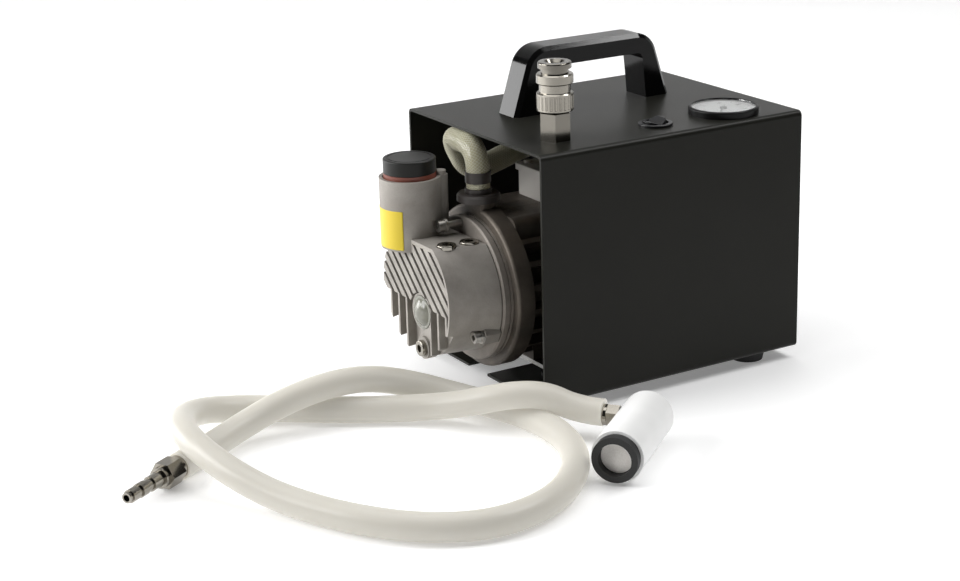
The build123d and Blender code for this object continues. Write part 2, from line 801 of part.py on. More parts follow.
def make_cable_gland():
    """Gland on the motor side of the terminal box, its blind insert closing the bore."""
    x0 = box_left + box_length
    z = box_base + box_height / 2
    gland = round_x(x0 - box_wall, x0, 6.0, box_y, z)
    gland += Pos(x0, box_y, z) * Rot(0, 90, 0) * extrude(RegularPolygon(9.0, 6), 5.0)
    gland += round_x(x0 + 5.0, x0 + 15.0, 7.2, box_y, z)
    return gland - round_x(x0 + 9.0, x0 + 16.0, 4.0, box_y, z)


# ---------------------------------------------------------------- intake port and braided hose
def make_inlet_fitting():
    """Round flange with a hose barb on the intake port."""
    x = port_x
    body = round_z(port_top - 7.0, port_top - 1.5, port_radius, x, axis_y)
    body = chamfer(body.edges().sort_by(Axis.Z)[-1], 1.5)
    body += round_z(port_top - 1.5, port_top + 2.0, 10.0, x, axis_y)
    body += round_z(port_top + 2.0, port_top + 14.0, barb_radius - 0.5, x, axis_y)
    for step in range(3):
        body += Pos(x, axis_y, port_top + 5.0 + 3.5 * step) * Cone(barb_radius, barb_radius - 0.5, 2.5)
    return body - round_z(port_top - 8, port_top + 15, 3.0, x, axis_y)


def braided_path():
    """Route of the hose from the intake port, up in a tight bend and back to the coupler tee."""
    x, y, z = port_x, axis_y, port_top + 2.0
    end_x, end_y = coupler_place
    tee_z = panel_under - tee_drop
    crest = panel_under - hose_radius - 0.6
    back = y + 46
    over_box = end_x + 52.5
    points = [(x, y, z), (x, y, crest), (x + 4, back, crest), (x + 20, back, z - 2),
              (over_box, back - 4, tee_z), (over_box, end_y, tee_z), (end_x + 14.0, end_y, tee_z)]
    return FilletPolyline(*points, radius=[16.0, 15.0, 17.0, 30.0, 16.0])


def make_braided_hose():
    path = braided_path()
    plane = Plane(path @ 0, z_dir=path % 0)
    ring = plane * (Circle(hose_radius) - Circle(hose_bore))
    return sweep(ring, path)


def make_hose_clamps():
    """Crimped bands at both ends of the hose."""
    path = braided_path()
    clamps = []
    for spot in (0.03, 0.97):
        plane = Plane(path @ spot, z_dir=path % spot)
        ring = plane * (Circle(hose_radius + 1.0) - Circle(hose_radius))
        clamps.append(extrude(ring, 4.0, both=True))
    return clamps


# ---------------------------------------------------------------- quick coupler

def make_coupler_body():
    """Socket of the quick coupler: hexagon, barrel, top ring and threaded stem."""
    x, y = coupler_place
    hex_top = case_top + coupler_hex_height
    top = case_top + coupler_height
    body = hex_z(case_top, hex_top, coupler_hex, x, y, -3.0)
    body = chamfer(body.edges().group_by(Axis.Z)[-1], 0.8)
    body += round_z(hex_top, top - 4.5, coupler_tube_radius, x, y)
    ring = round_z(top - 4.5, top, 12.0, x, y)
    body += fillet(ring.edges().sort_by(Axis.Z)[-1], 1.2)
    body += round_z(case_top - 14.0, case_top, coupler_stem_radius, x, y)
    bore = plug_pin_radius + plug_clearance
    body -= round_z(top - socket_depth, top + 1, bore, x, y)
    body -= Pos(x, y, top - 1.0) * Cone(bore, bore + 2.4, 2.6)
    body -= round_z(case_top + 14.0, top - socket_depth + 1, poppet_radius + 0.1, x, y)
    return body - round_z(case_top - 15.0, case_top + 15.0, 3.5, x, y)


def make_coupler_sleeve():
    """Knurled sleeve that slides up to free the plug."""
    x, y = coupler_place
    low = case_top + coupler_hex_height + fit
    high = case_top + coupler_height - 4.5 - sleeve_travel - fit
    grip = 13.5
    neck = 6.0
    sleeve = round_z(low, low + grip, sleeve_radius, x, y)
    sleeve = chamfer(sleeve.edges(), 0.8)
    sleeve += round_z(low + grip, low + grip + neck, 11.2, x, y)
    crown = round_z(low + grip + neck, high, sleeve_radius, x, y)
    sleeve += chamfer(crown.edges(), 0.9)
    for step in range(24):
        flute = Pos(sleeve_radius + 0.35, 0, low + grip / 2) * Cylinder(0.9, grip - 4.0)
        sleeve -= Pos(x, y, 0) * Rot(0, 0, 15.0 * step) * flute
    return sleeve - round_z(low - 1, high + 1, coupler_tube_radius + 0.1, x, y)


def make_coupler_poppet():
    """Valve that the plug pushes down when it goes in."""
    x, y = coupler_place
    high = case_top + coupler_height - socket_depth - 4.5
    body = round_z(high - 4.0, high, poppet_radius, x, y)
    body += round_z(high, high + 4.0, 2.2, x, y)
    body += round_z(case_top + 2.0, high - 4.0, 2.0, x, y)
    return body


def make_coupler_nut():
    x, y = coupler_place
    nut = hex_z(panel_under - 5.0, panel_under, 24.0, x, y, -3.0)
    return nut - round_z(panel_under - 6.0, panel_under + 1, coupler_stem_radius, x, y)


def make_coupler_tee():
    """Tee under the coupler: hose barb to the back, thin barb towards the gauge."""
    x, y = coupler_place
    top = case_top - 14.0
    mid = panel_under - tee_drop
    body = round_z(mid - 8.0, top, 9.0, x, y)
    low = mid - tee_pitch
    body += round_z(low - 4.0, mid - 7.0, 7.0, x, y)
    body += round_x(x, x + 14.0, 7.0, y, mid)
    body += round_x(x + 13.0, x + 27.0, barb_radius, y, mid)
    body += round_x(x, x + 12.0, 4.0, y, low)
    body += round_x(x + 12.0, x + 18.0, gauge_tube_bore - 0.1, y, low)
    body -= round_x(x, x + 28.0, 3.0, y, mid)
    body -= round_z(low - 1.0, mid, 2.0, x, y)
    body -= round_z(mid - 1.0, top + 1, 3.5, x, y)
    return body - round_x(x, x + 19.0, 1.0, y, low)


# ---------------------------------------------------------------- gauge
def make_gauge_case():
    """Can below the panel with a round bezel above it."""
    x, y = gauge_place
    bezel = round_z(case_top, case_top + 5.5, gauge_radius, x, y)
    bezel = fillet(bezel.edges().sort_by(Axis.Z)[-1], 1.5)
    can = bezel + round_z(case_top - gauge_depth, case_top, gauge_can_radius, x, y)
    can -= round_z(case_top + 1.5, case_top + 7, gauge_radius - 2.0, x, y)
    can -= round_z(case_top - gauge_depth + 2, case_top + 2, gauge_can_radius - 1.6, x, y)
    return can + tube_z(case_top - gauge_depth - 10, case_top - gauge_depth, 5.0, 2.0, x, y)


def make_gauge_movement():
    """Movement frame inside the can, carrying the pointer spindle bush."""
    x, y = gauge_place
    body = block(x - 12, x + 12, y - 5, y + 5, case_top - gauge_depth + 2, case_top - gauge_depth + 14)
    body += round_z(case_top - gauge_depth + 14, case_top + 0.6, 3.0, x, y)
    return body - round_z(case_top - 8, case_top + 1, 1.05, x, y)


def make_gauge_dial():
    x, y = gauge_place
    return tube_z(case_top + 1.5, case_top + 2.3, gauge_radius - 2.2, 3.2, x, y)


def make_gauge_pointer():
    """Pointer on its spindle, resting at the zero stop."""
    x, y = gauge_place
    low = case_top + 2.7
    needle = Pos(gauge_radius * 0.25, 0, 0.3) * Box(gauge_radius * 0.95, 1.0, 0.6)
    hub = Pos(0, 0, 0.3) * Cylinder(2.6, 0.6)
    arm = Pos(x, y, low) * Rot(0, 0, 225) * (needle + hub)
    return arm + round_z(case_top - 7, low, 1.0, x, y)


def make_gauge_glass():
    x, y = gauge_place
    return round_z(case_top + 3.8, case_top + 4.8, gauge_radius - 2.1, x, y)


def make_gauge_elbow():
    """Elbow under the gauge stem, its barb towards the coupler."""
    x, y = gauge_place
    low = case_top - gauge_depth - 10
    body = tube_z(low - 8.0, low + 7.0, 7.0, 5.0, x, y) + round_z(low - 12.0, low - 6.0, 7.0, x, y)
    body += round_x(x - 14.0, x, 4.0, y, low - 8.0)
    body += round_x(x - 20.0, x - 14.0, gauge_tube_bore - 0.1, y, low - 8.0)
    body -= round_x(x - 21.0, x - 2.0, 1.0, y, low - 8.0)
    return body - round_z(low - 8, low - 5, 3, x, y)


def make_gauge_tube():
    """Thin tube from the tee to the gauge, led round the switch."""
    x0, y0 = coupler_place
    x1, y1 = gauge_place
    z0 = panel_under - tee_drop - tee_pitch
    z1 = case_top - gauge_depth - 18.0
    points = [(x0 + 12, y0, z0), (x0 + 34, y0, z0), (x0 + 60, y0 - 6, z1), (x1 - 14, y1, z1)]
    path = FilletPolyline(*points, radius=20.0)
    ring = Plane(path @ 0, z_dir=path % 0) * (Circle(gauge_tube_radius) - Circle(gauge_tube_bore))
    return sweep(ring, path)


# ---------------------------------------------------------------- switch
def make_switch_case():
    """Round rocker switch body with its bezel and two blade terminals."""
    x, y = switch_place
    body = round_z(case_top, case_top + 2.0, switch_radius, x, y)
    body = fillet(body.edges().sort_by(Axis.Z)[-1], 0.8)
    body += round_z(case_top - 22.0, case_top, switch_body_radius, x, y)
    body -= round_z(case_top - 12.0, case_top + 3.0, rocker_radius + 0.35, x, y)
    for side in (-1, 1):
        blade_x = x + side * 5
        body += block(blade_x - 0.4, blade_x + 0.4, y - 3.1, y + 3.1, case_top - 30, case_top - 21)
        pin = Rot(90, 0, 0) * Cylinder(1.2, 3.6)
        body += Pos(x, y + side * (rocker_radius - 0.4), case_top - rocker_pivot) * pin
    return body


def make_rocker():
    """Two-lobed rocker on a cross pin, resting with one side down."""
    reach = rocker_radius
    lobes = make_face(Polyline((-reach, -3.0), (reach, -3.0), (reach, 8.2), (reach - 3.0, 8.4),
                               (0, 5.4), (-reach + 3.0, 8.4), (-reach, 8.2), close=True))
    body = Pos(0, 12, 0) * extrude(Plane.XZ * lobes, 24)
    body &= Pos(0, 0, 2) * Cylinder(rocker_radius - 0.9, 30)
    body -= Rot(90, 0, 0) * Cylinder(1.5, 30)
    x, y = switch_place
    return Pos(x, y, case_top - rocker_pivot) * Rot(0, -rocker_swing / 2, 0) * body


# ---------------------------------------------------------------- suction hose set
HOSE_POINTS = [
    (-345, -45, 9.9), (-317, -27.9, 9.9), (-283, -12, 14), (-249, -7, 22.7), (-214, -11, 30.1),
    (-183, -16, 30.1), (-153, -25, 21.6), (-128, -43, 12.9), (-111, -70, 9.9), (-102, -103, 9.9),
    (-101, -137, 9.9), (-109, -170, 9.9), (-128, -201, 9.9), (-157, -228, 9.9), (-193, -242, 9.9),
    (-228, -240, 9.9), (-259, -221, 9.9), (-282, -193, 9.9), (-299, -162, 9.9), (-315, -131, 12.9),
    (-329, -102, 20.5), (-338, -69, 28.7), (-336, -34, 30.3), (-322, -1, 26), (-298, 22, 18.4),
    (-266, 25, 11.9), (-237, 9, 9.9), (-209, -12.5, 9.9), (-181, -31, 9.9), (-155, -50, 11.9),
    (-137, -74, 18.4), (-118, -98, 28.1), (-97, -114.5, 29.4), (-81, -131.1, 19.7), (-68.7, -146.1, 19.7),
]


def corner_radii(points):
    """Largest soft bend at each inner point: 0.45 of the shorter run over tan of half the turn."""
    radii = []
    for before, here, after in zip(points, points[1:], points[2:]):
        first = Vector(*here) - Vector(*before)
        second = Vector(*after) - Vector(*here)
        half_turn = radians(first.get_angle(second) / 2)
        radii.append(0.45 * min(first.length, second.length) / tan(half_turn))
    return radii


def free_hose_path():
    return FilletPolyline(*HOSE_POINTS, radius=corner_radii(HOSE_POINTS))


def make_suction_hose():
    path = free_hose_path()
    section = Plane(path @ 0, z_dir=path % 0) * Circle(free_hose_radius)
    hose = sweep(section, path)
    expected = 3.14159 * free_hose_radius ** 2 * path.length
    print("hose length", round(path.length, 1), "volume ratio", round(hose.volume / expected, 4))
    print("hose radii", [round(radius) for radius in corner_radii(HOSE_POINTS)])
    return hose


def make_hose_plug():
    """Male plug: collar, hexagon, taper, pin with its groove and an open tip."""
    path = free_hose_path()
    start = path @ 0
    plane = Plane(start, z_dir=-(path % 0))
    corner = 8.6 / cos(radians(30))
    steps = [(0.0, 4.0, 8.2), (18.0, 22.0, 7.2), (22.0, 32.0, plug_pin_radius),
             (32.0, 38.0, 4.2), (38.0, 44.0, 5.0), (44.0, 47.0, 3.8), (47.0, 54.0, 4.6),
             (54.0, 57.0, 3.6)]
    plug = plane * (Pos(0, 0, 4.0) * extrude(RegularPolygon(corner, 6), 14.0))
    for low, high, radius in steps:
        plug += plane * (Pos(0, 0, (low + high) / 2) * Cylinder(radius, high - low))
    return plug - plane * (Pos(0, 0, 45) * Cylinder(2.4, 30))


def head_place():
    """Frame of the suction head: Z along its axis from the closed end to the mouth."""
    heading = radians(head_heading)
    axis = Vector(cos(heading), sin(heading), 0)
    return Plane(Vector(*head_back, head_radius + 0.2), x_dir=Vector(0, 0, 1), z_dir=axis)


def make_head_body():
    """White cup of the suction head, closed and rounded at the back."""
    plane = head_place()
    cup = Cylinder(head_radius, head_length)
    cup = fillet(cup.edges().sort_by(Axis.Z)[0], 3.0)
    cup -= Pos(0, 0, 4.0) * Cylinder(head_radius - 3.0, head_length)
    body = plane * (Pos(0, 0, head_length / 2) * cup)
    return body - head_port(4.6)


def head_port(radius):
    """Cross hole for the side fitting."""
    plane = head_place()
    return plane * (Pos(0, 20, head_side) * Rot(90, 0, 0) * Cylinder(radius, 30))


def make_head_ring():
    plane = head_place()
    ring = Cylinder(head_radius - 2.0, head_ring_length)
    ring += Pos(0, 0, -5.5) * Cylinder(head_radius - 3.2, 6.0)
    ring -= Cylinder(head_radius - 6.5, 40)
    return plane * (Pos(0, 0, head_length + head_ring_length / 2) * ring)


def make_head_disc():
    """Sintered strainer disc set back in the mouth."""
    plane = head_place()
    return plane * (Pos(0, 0, head_length - 2.0) * Cylinder(head_radius - 6.7, 5.0))


def make_head_fitting():
    """Side nut of the head, reaching through the wall and meeting the end of the hose."""
    end = free_hose_path() @ 1
    plane = head_place()
    centre = plane.origin + plane.z_dir * head_side
    reach = (Vector(end.X, end.Y, 0) - Vector(centre.X, centre.Y, 0)).length
    seat = head_radius + fit
    side = Pos(0, seat, head_side) * Rot(-90, 0, 0)
    hexagon = side * extrude(RegularPolygon(8.0, 6), reach - seat - 3.0)
    collar = Pos(0, reach - 1.6, head_side) * Rot(90, 0, 0) * Cylinder(7.5, 3.0)
    thread = Pos(0, seat - 2.0, head_side) * Rot(90, 0, 0) * Cylinder(4.4, 4.0)
    return plane * (hexagon + collar + thread)


# ---------------------------------------------------------------- all sub-parts
PARTS = {
    "case_wrap": make_case_wrap,
    "carry_handle": make_carry_handle,
    "rubber_feet": make_rubber_feet,
    "case_screws": make_case_screws,
    "mount_brackets": make_mount_brackets,
    "rubber_mounts": make_rubber_mounts,
    "mount_bolts": make_mount_bolts,
    "oil_tank": make_oil_tank,
    "filter_element": make_filter_element,
    "filter_ring": make_filter_ring,
    "filter_cap": make_filter_cap,
    "sight_glass": make_sight_glass,
    "drain_plug": make_drain_plug,
    "filler_plugs": make_filler_plugs,
    "tank_bolts": make_tank_bolts,
    "tank_gasket": make_tank_gasket,
    "pump_flange": make_pump_flange,
    "pump_cylinder": make_pump_cylinder,
    "end_plate": make_end_plate,
    "pump_rotor": make_pump_rotor,
    "vanes": make_vanes,
    "shaft_seal": make_shaft_seal,
    "intake_housing": make_intake_housing,
    "motor_housing": make_motor_housing,
    "stator_core": make_stator_core,
    "windings": make_windings,
    "rotor_core": make_rotor_core,
    "motor_shaft": make_motor_shaft,
    "bearings": make_bearings,
    "rear_shield": make_rear_shield,
    "cooling_fan": make_cooling_fan,
    "fan_cover": make_fan_cover,
    "terminal_box": make_terminal_box,
    "terminal_lid": make_terminal_lid,
    "lid_screws": make_lid_screws,
    "cable_gland": make_cable_gland,
    "inlet_fitting": make_inlet_fitting,
    "braided_hose": make_braided_hose,
    "hose_clamps": make_hose_clamps,
    "coupler_body": make_coupler_body,
    "coupler_sleeve": make_coupler_sleeve,
    "coupler_poppet": make_coupler_poppet,
    "coupler_nut": make_coupler_nut,
    "coupler_tee": make_coupler_tee,
    "gauge_case": make_gauge_case,
    "gauge_movement": make_gauge_movement,
    "gauge_dial": make_gauge_dial,
    "gauge_pointer": make_gauge_pointer,
    "gauge_glass": make_gauge_glass,
    "gauge_elbow": make_gauge_elbow,
    "gauge_tube": make_gauge_tube,
    "switch_case": make_switch_case,
    "rocker": make_rocker,
    "suction_hose": make_suction_hose,
    "hose_plug": make_hose_plug,
    "head_body": make_head_body,
    "head_ring": make_head_ring,
    "head_disc": make_head_disc,
    "head_fitting": make_head_fitting,
}

os.makedirs("parts", exist_ok=True)
for name, make in PARTS.items():
    made = make()
    if isinstance(made, list):
        made = Compound(children=[solid for piece in made for solid in piece.solids()])
    export_step(made, f"parts/{name}.step")
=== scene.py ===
# %% [markdown]
# # Dressing a portable vacuum pump
# The solid parts of the pump come in already placed, so this notebook only gives them their
# looks: a camera, the soft hose, small details that repeat, and a finish for every part.
# Everything is in metres.  +X runs along the case to the motor end, +Y is the back, +Z is up.
# %% Load the solid parts
from math import cos, pi, radians, sin, tan

import bpy
from mathutils import Matrix, Vector


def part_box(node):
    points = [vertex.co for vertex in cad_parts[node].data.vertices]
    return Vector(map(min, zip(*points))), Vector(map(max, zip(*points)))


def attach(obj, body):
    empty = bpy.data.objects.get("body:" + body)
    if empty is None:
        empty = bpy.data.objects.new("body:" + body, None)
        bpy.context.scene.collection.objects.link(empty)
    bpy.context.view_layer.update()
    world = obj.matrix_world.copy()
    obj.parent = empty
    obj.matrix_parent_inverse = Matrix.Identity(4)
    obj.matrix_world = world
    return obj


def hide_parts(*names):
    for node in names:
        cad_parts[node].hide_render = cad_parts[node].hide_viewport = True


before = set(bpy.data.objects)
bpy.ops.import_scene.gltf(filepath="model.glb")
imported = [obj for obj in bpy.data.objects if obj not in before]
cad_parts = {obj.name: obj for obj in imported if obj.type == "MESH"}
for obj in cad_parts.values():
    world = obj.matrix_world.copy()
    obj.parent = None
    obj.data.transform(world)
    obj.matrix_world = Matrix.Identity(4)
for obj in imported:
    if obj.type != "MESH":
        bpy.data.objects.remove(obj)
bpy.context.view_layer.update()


# %% [markdown]
# ## Where things are
# A part's own box says where it is.  This helper turns a box into the point that most pieces
# are placed from.
# %% Places from the parts themselves
def middle(part):
    """Centre of a part's box."""
    low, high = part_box(part)
    return (low + high) / 2


print("coupler stands at", middle("coupler_sleeve")[:])


# %% [markdown]
# ## Camera
# The pump is seen from its open end, a little to the left and from above.  The camera is
# given by a compass direction, a height angle and a small roll, as a tripod head is set, and the
# three together make its matrix.
# %% Camera on its tripod
def aim(place, compass, height, roll):
    """Camera matrix from the place and the three angles of the tripod head."""
    away = Vector((sin(compass) * cos(height), -cos(compass) * cos(height), sin(height)))
    side = Vector((cos(compass), sin(compass), 0))
    upward = away.cross(side)
    right = cos(roll) * side + sin(roll) * upward
    up = cos(roll) * upward - sin(roll) * side
    turn = Matrix((right, up, away)).transposed().to_4x4()
    return Matrix.Translation(place) @ turn


lens = bpy.data.cameras.new("tripod_camera")
lens.sensor_width = 36.0
lens.lens = 76.42
lens.clip_start = 0.05
lens.clip_end = 50.0
tripod = bpy.data.objects.new("tripod_camera", lens)
tripod.matrix_world = aim(place=(-0.8086, -1.2403, 0.5415), compass=radians(-30.4347),
                          height=radians(18.0789), roll=radians(-1.5883))
bpy.context.scene.collection.objects.link(tripod)
bpy.context.scene.camera = tripod
print("camera at", tripod.matrix_world.translation[:])


# %% [markdown]
# ## A small language for finishes
# Every finish below is worked out by nodes.  Writing the sums as Python expressions keeps them
# readable: a `Wire` is one output socket, and adding or multiplying wires adds the Math node.
# %% Wires that can be added and multiplied
class Wire:
    """An output socket of a finish, usable in sums."""

    def __init__(self, finish, socket):
        self.finish = finish
        self.socket = socket

    def sum(self, operation, first, second):
        return self.finish.node("ShaderNodeMath", {"operation": operation}, {0: first, 1: second})

    def __add__(self, other):
        return self.sum("ADD", self, other)

    def __rsub__(self, other):
        return self.sum("SUBTRACT", other, self)

    def __mul__(self, other):
        return self.sum("MULTIPLY", self, other)

    __radd__ = __add__


# %% [markdown]
# A `Finish` is one material.  Its `node` method adds any node: the settings go in first, then
# the values or wires of its sockets.  `noise` and `mix` are the two that most finishes use.
# %% One material and its nodes
class Finish:
    def __init__(self, name, colour, roughness, **fixed):
        self.material = bpy.data.materials.new(name)
        self.material.use_nodes = True
        self.material.diffuse_color = (*colour, 1.0)
        self.tree = self.material.node_tree
        self.shader = self.tree.nodes["Principled BSDF"]
        self.feed(Base_Color=(*colour, 1.0), Roughness=roughness, **fixed)
        self.place = self.node("ShaderNodeTexCoord", out="Object")

    def node(self, kind, settings=None, feeds=None, out=0):
        """Any node: its settings first, then its sockets."""
        made = self.tree.nodes.new(kind)
        for key, value in (settings or {}).items():
            setattr(made, key, value)
        for key, value in (feeds or {}).items():
            self.join(made.inputs[key], value)
        return Wire(self, made.outputs[out])

    def join(self, socket, value):
        """Links a wire to a socket, or sets its value."""
        if isinstance(value, Wire):
            self.tree.links.new(value.socket, socket)
        else:
            socket.default_value = value

    def feed(self, **sockets):
        """Sets or links sockets of the shader, with _ for a space in their names."""
        for key, value in sockets.items():
            self.join(self.shader.inputs[key.replace("_", " ")], value)

    def noise(self, scale, detail=2.0, place=None):
        """Soft noise from 0 to 1, with so many lumps to the metre."""
        feeds = {"Vector": place or self.place, "Scale": scale, "Detail": detail}
        return self.node("ShaderNodeTexNoise", feeds=feeds)

    def stretched(self, stretch):
        """Object coordinates squeezed along some axes, for streaks."""
        return self.node("ShaderNodeMapping", feeds={"Vector": self.place, "Scale": stretch})

    def mix(self, amount, first, second):
        """Colour between two colours."""
        first = first if isinstance(first, Wire) else (*first, 1.0)
        second = second if isinstance(second, Wire) else (*second, 1.0)
        feeds = {0: amount, 6: first, 7: second}
        return self.node("ShaderNodeMix", {"data_type": "RGBA"}, feeds, out=2)

    def between(self, value, low, high):
        """0 below low, 1 above high and even between them."""
        feeds = {"Value": value, "From Min": low, "From Max": high}
        return self.node("ShaderNodeMapRange", feeds=feeds)

    def relief(self, height, depth):
        """Raises the surface by depth metres where the height wire is 1."""
        feeds = {"Height": height, "Strength": 1.0, "Distance": depth}
        return self.node("ShaderNodeBump", feeds=feeds, out="Normal")


# %% [markdown]
# ## Families of finishes
# Real things share a few ways of being finished, so one function makes each family.  Powder
# coat is a thick paint that flows into a very fine orange peel: dark, smooth, softly mirroring.
# %% Powder coat and paint
def powder_coat(name, colour, roughness, peel=0.00002, shine=0.3):
    made = Finish(name, colour, roughness, Specular_IOR_Level=shine)
    cloud = made.noise(9.0)
    grain = made.noise(900.0, 1.0)
    lighter = tuple(1.6 * part + 0.004 for part in colour)
    made.feed(Base_Color=made.mix(cloud * 0.8, colour, lighter),
              Roughness=roughness - 0.05 + cloud * 0.1,
              Normal=made.relief(grain, peel))
    return made


# %% [markdown]
# A sand casting keeps the grain of its mould.  Coarse noise gives the blotches of colour, fine
# noise the grain, and a little of the grain also dulls the surface.
# %% Sand castings
def casting(name, colour, shade, roughness=0.55, metallic=0.35, grain_size=700.0):
    made = Finish(name, colour, roughness, Metallic=metallic)
    blotch = made.noise(45.0, 4.0)
    grain = made.noise(grain_size, 3.0)
    speck = made.between(made.noise(2600.0, 1.0), 0.62, 0.72)
    tone = made.mix(made.between(blotch, 0.35, 0.65), shade, colour)
    tone = made.mix(speck * 0.35, tone, tuple(0.35 * part for part in colour))
    made.feed(Base_Color=tone, Roughness=roughness - 0.08 + grain * 0.2,
              Normal=made.relief(grain, 0.00009))
    return made


# %% [markdown]
# Turned and plated metal shows very faint rings or streaks from the tool.  Stretching the
# noise across one axis draws them, and they change the roughness more than the colour.
# %% Bare and plated metals
def metal(name, colour, roughness, stretch=(120.0, 120.0, 4000.0), streak=0.1):
    made = Finish(name, colour, roughness, Metallic=1.0)
    lines = made.noise(1.0, 2.0, made.stretched(stretch))
    smudge = made.noise(70.0, 3.0)
    darker = tuple(0.72 * part for part in colour)
    made.feed(Base_Color=made.mix(smudge * 0.5, colour, darker),
              Roughness=roughness - streak / 2 + lines * streak + smudge * 0.04,
              Normal=made.relief(lines, 0.000006))
    return made


# %% [markdown]
# Moulded plastic and rubber take the skin of their mould: a fine sparkle erosion on plastic,
# a duller and slightly dusty one on rubber.
# %% Moulded plastic and rubber
def moulded(name, colour, roughness, skin=1400.0, depth=0.00002, dust=0.0, **fixed):
    made = Finish(name, colour, roughness, **fixed)
    grain = made.noise(skin, 2.0)
    cloud = made.noise(30.0, 3.0)
    pale = tuple(part + dust + 0.15 * part for part in colour)
    made.feed(Base_Color=made.mix(cloud, colour, pale),
              Roughness=roughness - 0.06 + cloud * 0.12,
              Normal=made.relief(grain, depth))
    return made


# %% [markdown]
# ## Dressing the parts
# A finish is put on a part through its own material slot, so that its shape is never touched.
# The slot belongs to the object and not to the mesh, so two parts can share a mesh and still
# be finished differently.
# %% Putting a finish on parts
def dress(made, *parts):
    for name in parts:
        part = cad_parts[name]
        if not part.material_slots:
            part.data.materials.append(made.material)
        for slot in part.material_slots:
            slot.link = "OBJECT"
            slot.material = made.material
    print(made.material.name, "is on", ", ".join(parts))


dress(powder_coat("case_black", (0.01, 0.01, 0.008), 0.34, shine=0.12), "case_wrap")
dress(moulded("handle_black", (0.003, 0.003, 0.003), 0.1, Specular_IOR_Level=0.2),
      "carry_handle")
dress(moulded("rubber_black", (0.02, 0.02, 0.02), 0.75, dust=0.01), "rubber_feet",
      "rubber_mounts")
dress(metal("zinc_screws", (0.55, 0.53, 0.5), 0.34), "case_screws", "mount_bolts", "tank_bolts",
      "lid_screws")
dress(metal("bracket_zinc", (0.48, 0.48, 0.46), 0.42, (4000.0, 60.0, 60.0)), "mount_brackets")

# %% [markdown]
# The oil tank and its filter tower are one aluminium casting in warm grey.  The pump and motor
# castings behind it were painted a darker bronze grey.
# %% Castings
dress(casting("tank_grey", (0.35, 0.328, 0.298), (0.255, 0.236, 0.214)), "oil_tank")
dress(casting("flange_grey", (0.3, 0.27, 0.24), (0.2, 0.18, 0.16)), "pump_flange")
dress(casting("motor_bronze", (0.13, 0.11, 0.09), (0.075, 0.065, 0.055), 0.5, 0.5),
      "intake_housing", "motor_housing", "rear_shield")
dress(moulded("gasket_paper", (0.09, 0.08, 0.07), 0.9), "tank_gasket")

# %% [markdown]
# Inside the pump the parts are machined steel and iron, and the vanes are pressed carbon.
# They are hidden at rest, but a part that is taken apart should still look right.
# %% Inner pump and motor parts
dress(metal("cylinder_iron", (0.22, 0.22, 0.22), 0.5), "pump_cylinder", "end_plate")
dress(metal("ground_steel", (0.56, 0.56, 0.57), 0.34, (4000.0, 90.0, 90.0)), "pump_rotor",
      "motor_shaft", "bearings")
dress(moulded("vane_carbon", (0.03, 0.03, 0.032), 0.5, 900.0), "vanes")
dress(moulded("seal_rubber", (0.015, 0.015, 0.015), 0.6), "shaft_seal", "head_ring")
dress(metal("core_steel", (0.3, 0.3, 0.31), 0.5, (2000.0, 8.0, 8.0), 0.2), "stator_core",
      "rotor_core")
dress(metal("winding_copper", (0.7, 0.3, 0.14), 0.4, (20.0, 1500.0, 1500.0), 0.2), "windings")
dress(moulded("fan_nylon", (0.03, 0.03, 0.03), 0.5), "cooling_fan")
dress(powder_coat("cover_paint", (0.05, 0.046, 0.042), 0.4), "fan_cover")
dress(moulded("filter_paper", (0.72, 0.68, 0.56), 0.9, 500.0, 0.0001), "filter_element")

# %% [markdown]
# The cartridge's ring is a matt orange red, its cap satin black, and the electric box and its
# lid are moulded in a middle grey.
# %% Plastics of the pump end
dress(moulded("ring_orange", (0.17, 0.045, 0.028), 0.45), "filter_ring")
dress(moulded("cap_black", (0.01, 0.01, 0.009), 0.4, Specular_IOR_Level=0.25), "filter_cap",
      "cable_gland")
dress(moulded("box_grey", (0.4, 0.38, 0.35), 0.5), "terminal_box", "terminal_lid")
dress(powder_coat("fitting_dark", (0.03, 0.026, 0.024), 0.38), "inlet_fitting", "hose_clamps")

# %% [markdown]
# Bright nickel on the coupler and the plugs, the same nickel painted darker on the coupler's body
# as a painted shade for the dark things it mirrors, brass under the panel, and black plastic for
# the gauge and the switch.
# %% Fittings, gauge and switch
dress(metal("nickel", (0.33, 0.31, 0.272), 0.17), "coupler_sleeve", "coupler_poppet",
      "coupler_nut", "filler_plugs", "drain_plug", "hose_plug", "head_fitting")
# The coupler's body is the same nickel painted darker than the sleeve: a painted shade for the
# dark things it mirrors.
dress(metal("nickel_with_painted_shade", (0.2, 0.188, 0.165), 0.15), "coupler_body")
dress(metal("brass", (0.6, 0.43, 0.2), 0.34), "coupler_tee", "gauge_elbow", "gauge_movement")
dress(moulded("gauge_black", (0.006, 0.006, 0.006), 0.36, Specular_IOR_Level=0.2), "gauge_case")
dress(moulded("switch_black", (0.012, 0.012, 0.013), 0.36), "switch_case", "rocker")
dress(moulded("tube_black", (0.02, 0.02, 0.02), 0.4), "gauge_tube")
dress(moulded("dial_paper", (0.52, 0.52, 0.51), 0.6, 3000.0, 0.000005), "gauge_dial")
dress(moulded("pointer_black", (0.015, 0.015, 0.015), 0.4), "gauge_pointer")

# %% [markdown]
# Glass needs light to pass through it, which the Transmission value does.  It is the same all
# over the pane, so it is set on the shader itself; only the faint haze of dust varies.
# %% Glass of the gauge and of the oil window
def clear(name, colour, roughness, ior):
    made = Finish(name, colour, roughness, Transmission_Weight=1.0, IOR=ior)
    made.feed(Roughness=made.noise(60.0, 3.0) * roughness * 2.0)
    return made


